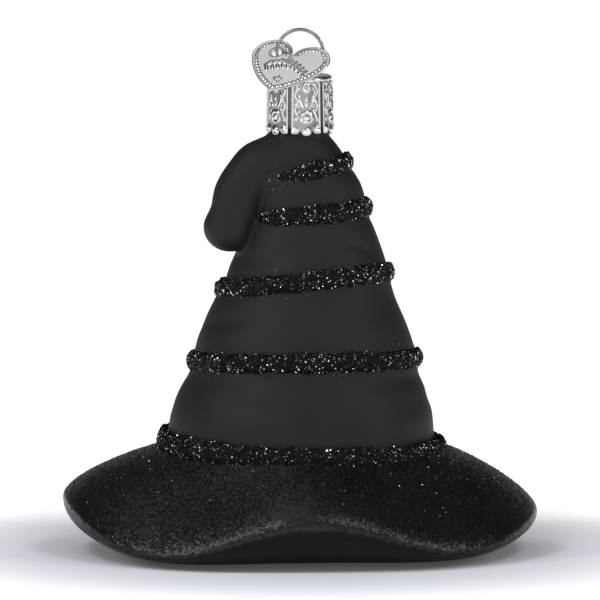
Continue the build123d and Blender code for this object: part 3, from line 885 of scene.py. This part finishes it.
def hanger(finish):
    path, around = hanger_path(), 20
    along = np.gradient(path, axis=0)
    along /= np.linalg.norm(along, axis=1, keepdims=True)
    turn = np.arange(around) * tau / around
    rings = []
    for end, sign in ((0, -1), (len(path) - 1, 1)):
        caps = []
        for lift in (78, 55, 30):
            size, out = WIRE_RADIUS * cos(radians(lift)), WIRE_RADIUS * 0.5 * sin(radians(lift))
            caps.append((path[end] + along[end] * sign * (out - WIRE_RADIUS * 0.5), along[end], size))
        rings.append(caps)
    stations = rings[0] + [(p, t, WIRE_RADIUS) for p, t in zip(path[1:-1], along[1:-1])] + rings[1][::-1]
    rows = []
    for (x, z), (tx, tz), size in stations:
        out = size * np.cos(turn)
        rows.append(np.stack([x + out * tz, size * np.sin(turn), z - out * tx], axis=1))
    wire = mesh_object("hanger_wire_look", *closed_rings(rows))
    face_outwards(wire)
    wire.data.materials.append(finish)
    return wire


# ------------------------------------------------------------------ heart tag
TAG_LOBE, TAG_TIP, TAG_SHEET = 3.95, 9.1, 0.25
TAG_LOBE_END = -24.0
TAG_CLEARANCE = 0.15
TAG_HOLE_RADIUS = 0.95
TAG_YAW, TAG_ROLL, TAG_WIRE_ANGLE = 16.0, 12.5, 183.0
TAG_MIDDLE = np.array([0.0, -2.6])
TAG_HOLE = np.array([-3.2, 0.5])


def tag_axes():
    """The tag's right, up and outward directions and the point it hangs by."""
    yaw, roll, turn = radians(TAG_YAW), radians(TAG_ROLL), radians(TAG_WIRE_ANGLE)
    hang = np.array([LOOP_RADIUS * cos(turn), 0.0, LOOP_Z + LOOP_RADIUS * sin(turn)])
    # the sheet passes over the cap's rounded rim with its clearance
    rise, reach = hang[2] - (CAP_TOP_Z - CAP_RIM_ROUND), CAP_INNER - 0.25 + hang[0] * sin(yaw)
    over_rim = CAP_RIM_ROUND + TAG_SHEET / 2 + TAG_CLEARANCE
    lean = math.atan2(reach, rise) + math.asin(over_rim / math.hypot(reach, rise))
    across = np.array([cos(yaw), -sin(yaw), 0.0])
    normal = np.array([-sin(yaw) * cos(lean), -cos(yaw) * cos(lean), sin(lean)])
    up = np.cross(normal, across)
    right = across * cos(roll) - up * sin(roll)
    return right, np.cross(normal, right), normal, hang


def heart_edge(turn):
    """Distance from the heart's middle to its edge in one direction, and that direction."""
    way = np.array([sin(turn), cos(turn)])
    flip = -1.0 if way[0] < 0 else 1.0
    way_right = np.array([abs(way[0]), way[1]])
    end = radians(TAG_LOBE_END)
    side = np.array([TAG_LOBE + TAG_LOBE * cos(end), TAG_LOBE * sin(end)])
    tip = np.array([0.0, -TAG_TIP])
    chord = tip - side
    normal = np.array([cos(end), sin(end)])
    flank_radius = -chord.dot(chord) / (2 * chord.dot(normal))
    flank_centre = side - normal * flank_radius
    found = []
    for centre, radius in ((np.array([TAG_LOBE, 0.0]), TAG_LOBE), (flank_centre, flank_radius)):
        offset = TAG_MIDDLE - centre
        b, c = offset.dot(way_right), offset.dot(offset) - radius**2
        disc = b * b - c
        if disc > -1e-9:
            reach = -b + sqrt(max(disc, 0.0))
            spot = TAG_MIDDLE + way_right * reach
            if (radius == TAG_LOBE) == (spot[1] >= side[1] - 1e-6):
                found.append(reach)
    return max(found), np.array([way_right[0] * flip, way_right[1]])


def segment_distance(p, a, b):
    ax, ay = p[0] - a[0], p[1] - a[1]
    bx, by = b[0] - a[0], b[1] - a[1]
    t = min(max((ax * bx + ay * by) / (bx * bx + by * by), 0), 1)
    return math.hypot(ax - bx * t, ay - by * t)


def tag_relief(x, y, to_edge, along):
    """Height of the stamping on the tag: rolled rim, beaded border, a spray of leaves over a small star."""
    relief = 0.10 * ridge(to_edge - 0.22, 0.16)
    bead = abs((along / 0.86) % 1 - 0.5) * 0.86
    relief += 0.26 * ridge(math.hypot(to_edge - 0.86, bead), 0.24)
    # a spray of leaves that swings across the heart
    for n in range(9):
        share = n / 8
        root, ahead = (
            (-3.9 + 7.6 * part, -3.0 + 1.5 * sin(pi * part) - 0.4 * part) for part in (share, share + 1 / 8)
        )
        if n < 8:
            relief = max(relief, 0.20 * ridge(segment_distance((x, y), root, ahead), 0.17))
        for sign in (-1, 1):
            leaf = (root[0] + 0.75, root[1] + sign * 1.15 * (1 - 0.45 * share))
            relief = max(relief, 0.19 * ridge(segment_distance((x, y), root, leaf), 0.22))
    star_x, star_y = x + 0.1, y + 6.0
    far, turn = math.hypot(star_x, star_y), math.atan2(star_x, star_y)
    edge = 0.62 + 0.28 * cos(5 * turn)
    relief = max(relief, 0.13 / (1 + math.exp((far - edge) / 0.05)))
    return relief


def heart_tag(finish):
    """Stamped heart, slightly domed, with a hole in its left lobe."""
    right, up, normal, hang = tag_axes()
    spokes, steps, near_by = 300, 46, 14
    outline, along = [], [0.0]
    for k in range(spokes):
        reach, way = heart_edge(k * tau / spokes)
        outline.append(TAG_MIDDLE + way * reach)
    outline = np.array(outline)
    for k in range(1, spokes):
        along.append(along[-1] + float(np.linalg.norm(outline[k] - outline[k - 1])))
    spots, faces, hollow = [TAG_MIDDLE], [], [0.5]
    heights = [0.0]
    for s in range(1, steps + 1):
        share = s / steps
        for k in range(spokes):
            spot = TAG_MIDDLE + (outline[k] - TAG_MIDDLE) * share
            near = outline[(np.arange(-near_by, near_by + 1) + k) % spokes]
            gaps = np.hypot(near[:, 0] - spot[0], near[:, 1] - spot[1])
            to_edge = float(np.min(gaps))
            place = along[(k + int(np.argmin(gaps)) - near_by) % spokes]
            relief = tag_relief(spot[0], spot[1], to_edge, place) * min(1, to_edge / 0.12)
            from_hole = float(np.linalg.norm(spot - TAG_HOLE))
            relief *= min(max((from_hole - 1.05) / 0.3, 0), 1)
            relief += 0.09 * ridge(from_hole - 1.28, 0.16)
            spots.append(spot)
            heights.append(relief)
            # painted shade: the tag's flat field is darkened a little, the raised stamping not at all
            hollow.append(0.3 * min(max(1 - relief / 0.08, 0), 1))
    count = len(spots)
    dome = 0.10
    points = []
    for side in (1, -1):
        for spot, height in zip(spots, heights):
            bulge = dome * (1 - min(1.0, float(np.linalg.norm(spot - TAG_MIDDLE)) / 6.5) ** 2)
            lift = side * TAG_SHEET / 2 * 0.9 + height * (0.8 if side > 0 else 0.55) + bulge
            local = spot - TAG_HOLE
            points.append(hang + right * local[0] + up * local[1] + normal * lift)
    for k in range(spokes):
        m = (k + 1) % spokes
        faces.append((0, 1 + m, 1 + k))
        faces.append((count, count + 1 + k, count + 1 + m))
        for s in range(steps - 1):
            a, b = 1 + s * spokes, 1 + (s + 1) * spokes
            faces.append((a + k, a + m, b + m, b + k))
            faces.append((count + a + k, count + b + k, count + b + m, count + a + m))
        rim = 1 + (steps - 1) * spokes
        faces.append((rim + k, rim + m, count + rim + m, count + rim + k))
    tag = mesh_object("tag", points, faces)
    store(tag, "hollow", hollow + hollow)
    face_outwards(tag)
    in_millimetres(tag)
    turn = np.arange(40) * tau / 40
    rings = []
    for lift in (1.5, -1.5):
        ring = np.outer(np.cos(turn), right) + np.outer(np.sin(turn), up)
        rings.append(hang + TAG_HOLE_RADIUS * ring + normal * lift)
    tag = cut_rings(tag, rings, "heart_tag_look")
    in_metres(tag)
    tag.data.materials.clear()
    tag.data.materials.append(finish)
    return tag


# ------------------------------------------------------------------ put the pieces together
# flakes per square metre; these keep each piece under 200,000 triangles
BEAD_FLAKES, DUST_FLAKES = 6.0e6, 1.25e6
STRAY_STOPS = 400

paint, glue = lacquered_glass(), glitter_glue()
black_foil = foil_flakes("black_foil_glitter", "#111113", "#7c808a", "#f2f5fb")
dust_foil = foil_flakes("fine_black_glitter", "#111112", "#2e2e32", "#85888e")
tin, wire_finish = stamped_tinplate(), nickel_wire()

glass = blown_glass()
glass.name = glass.data.name = "glass_body_look"
glass.data.materials.clear()
glass.data.materials.append(paint)
glass_tree = tree_of(glass)

scatter_on_glue = scatter_tree("glitter on glue", True, 6)
scatter_alone = scatter_tree("glitter dust", False, 4)
for number, (name, (*course, thins)) in enumerate(BANDS.items()):
    core = bead_core(name + "_core", course, thins, glass_tree)
    core.data.materials.append(glue)
    band = scattered(core, scatter_on_glue, {
        "Flakes per square metre": BEAD_FLAKES, "Flake width": 0.37 * MM, "Flake thickness": 0.03 * MM,
        "Smallest share": 0.6, "Lean": 1.0, "Seed": 11 + number, "Flake finish": black_foil,
    }, name + "_look")
    show(band, "glass", "black_glitter", name)

# loose flakes: fine dust on the brim, thickest near the crown, and strays beside the beads
strays = KDTree(len(BANDS) * STRAY_STOPS)
for number, (*course, thins) in enumerate(BANDS.values()):
    for n, place in enumerate(bead_line(*course, STRAY_STOPS)):
        strays.insert(Vector(place), number * STRAY_STOPS + n)
strays.balance()
field_piece = bpy.data.objects.new("flake_field", glass.data.copy())
bpy.context.scene.collection.objects.link(field_piece)
brim_values = np.empty(len(glass.data.vertices), dtype=np.float32)
glass.data.attributes["brim_top"].data.foreach_get("value", brim_values)
inside_values = np.empty(len(glass.data.vertices), dtype=np.float32)
glass.data.attributes["bare_glass"].data.foreach_get("value", inside_values)
field = []
for vertex, on_brim, inside in zip(glass.data.vertices, brim_values, inside_values):
    _, _, far = strays.find(vertex.co / MM)
    beside_bead = 1.6 * (1.2 < far < 2.9) * max(0.0, 1 - (far - 1.9) / 1.0)
    field.append((1 - float(inside)) * (float(on_brim) + beside_bead))
store(field_piece, "flake_field", field)
dust = scattered(field_piece, scatter_alone, {
    "Flakes per square metre": DUST_FLAKES, "Flake width": 0.33 * MM, "Flake thickness": 0.05 * MM,
    "Smallest share": 0.6, "Lean": 1.1, "Seed": 41, "Flake finish": dust_foil,
}, "brim_glitter_look")

show(glass, "glass", "painted_glass", "glass_body")
show(dust, "glass", "black_glitter")
show(petal_cap(tin), "cap", "stamped_silver", "ornament_cap")
show(hanger(wire_finish), "hanger", "spring_wire", "hanger_wire")
show(heart_tag(tin), "tag", "stamped_silver", "heart_tag")

# ------------------------------------------------------------------ studio
FLOOR_HALF = 1500
VIEW_WIDTH = 0.1137  # metres seen across the object's distance
corners = [(x * FLOOR_HALF, y * FLOOR_HALF, 0) for x, y in ((-1, -1), (1, -1), (1, 1), (-1, 1))]
stage = mesh_object("floor", corners, [(0, 1, 2, 3)])
stage.data.transform(Matrix.Translation((0, 0, -0.00005)))
paper, paper_tree, paper_shader = new_finish("paper_sweep_painted_glow")
paper_shader.inputs["Base Color"].default_value = linear("#f4f4f4")
paper_shader.inputs["Roughness"].default_value = 0.9
# painted light: the table glows white away from the object, and the glow fades near it into a painted shadow
spot = add(paper_tree, "ShaderNodeTexCoord").outputs["Object"]
away = add(paper_tree, "ShaderNodeVectorMath", {"operation": "LENGTH"}, {0: spot}).outputs["Value"]
painted_floor_glow = ranged(paper_tree, away, 0.05, 0.80, 0.04, 0.11, "SMOOTHSTEP")
paper_shader.inputs["Emission Color"].default_value = linear("#ffffff")
paper_tree.links.new(painted_floor_glow, paper_shader.inputs["Emission Strength"])
stage.data.materials.append(paper)

world = bpy.data.worlds.new("studio")
bpy.context.scene.world = world
world.use_nodes = True
sky = world.node_tree
direction = add(sky, "ShaderNodeTexCoord").outputs["Generated"]
# a pale wall in front, a dim one behind, dark flags at the sides and a dark ceiling with one pale panel
walls = add(sky, "ShaderNodeSeparateXYZ", {}, {0: direction}).outputs


def fade(start, stop, low, high, value):
    """Smooth change of strength between two shares of a direction."""
    return ranged(sky, value, low, high, start, stop, "SMOOTHSTEP")


aside = add(sky, "ShaderNodeMath", {"operation": "ABSOLUTE"}, {0: walls["X"]}).outputs[0]
level = worked(sky, "MULTIPLY", fade(0.25, 0.85, 1.15, 0.16, aside), fade(0.12, 0.62, 1.0, 0.20, walls["Z"]))
level = worked(sky, "MULTIPLY", level, fade(-0.2, 0.5, 1.0, 0.25, walls["Y"]))
panel = {"operation": "DOT_PRODUCT", 1: (-0.24, 0.10, 0.965)}
towards_panel = add(sky, "ShaderNodeVectorMath", panel, {0: direction}).outputs["Value"]
level = worked(sky, "ADD", level, fade(0.955, 0.985, 0.0, 0.85, towards_panel))
sky.nodes["Background"].inputs["Color"].default_value = linear("#ffffff")
sky.links.new(level, sky.nodes["Background"].inputs["Strength"])
bpy.context.scene.view_settings.view_transform = "Standard"


def softbox(name, place, target, width, height, power, colour="#ffffff"):
    """A rectangular area light that faces its target; places in metres."""
    light = bpy.data.lights.new(name, "AREA")
    light.shape, light.size, light.size_y, light.energy = "RECTANGLE", width, height, power
    light.color = linear(colour)[:3]
    lamp = bpy.data.objects.new(name, light)
    lamp.location = place
    lamp.rotation_euler = (Vector(target) - Vector(place)).to_track_quat("-Z", "Y").to_euler()
    bpy.context.scene.collection.objects.link(lamp)


softbox("front_left", (-0.46, -0.42, 0.78), (0, 0, 0.04), 0.34, 0.24, 2.3, "#e6edff")
softbox("front_right", (0.40, -0.44, 0.78), (0, 0, 0.04), 0.34, 0.24, 1.8, "#e6edff")
softbox("left", (-0.75, -0.35, 0.45), (0, 0, 0.05), 0.08, 0.30, 1.6)
softbox("right", (0.80, -0.30, 0.40), (0, 0, 0.05), 0.08, 0.30, 1.4)

camera = bpy.data.objects.new("camera", bpy.data.cameras.new("camera"))
bpy.context.scene.collection.objects.link(camera)
target, distance, rise = Vector((0, 0, 0.04764)), 3.0, radians(6)
camera.location = target + Vector((0, -cos(rise), sin(rise))) * distance
camera.rotation_euler = (target - camera.location).to_track_quat("-Z", "Y").to_euler()
camera.data.sensor_width = 36
camera.data.lens = camera.data.sensor_width * distance / VIEW_WIDTH
camera.data.clip_start, camera.data.clip_end = 0.01, 20
bpy.context.scene.camera = camera
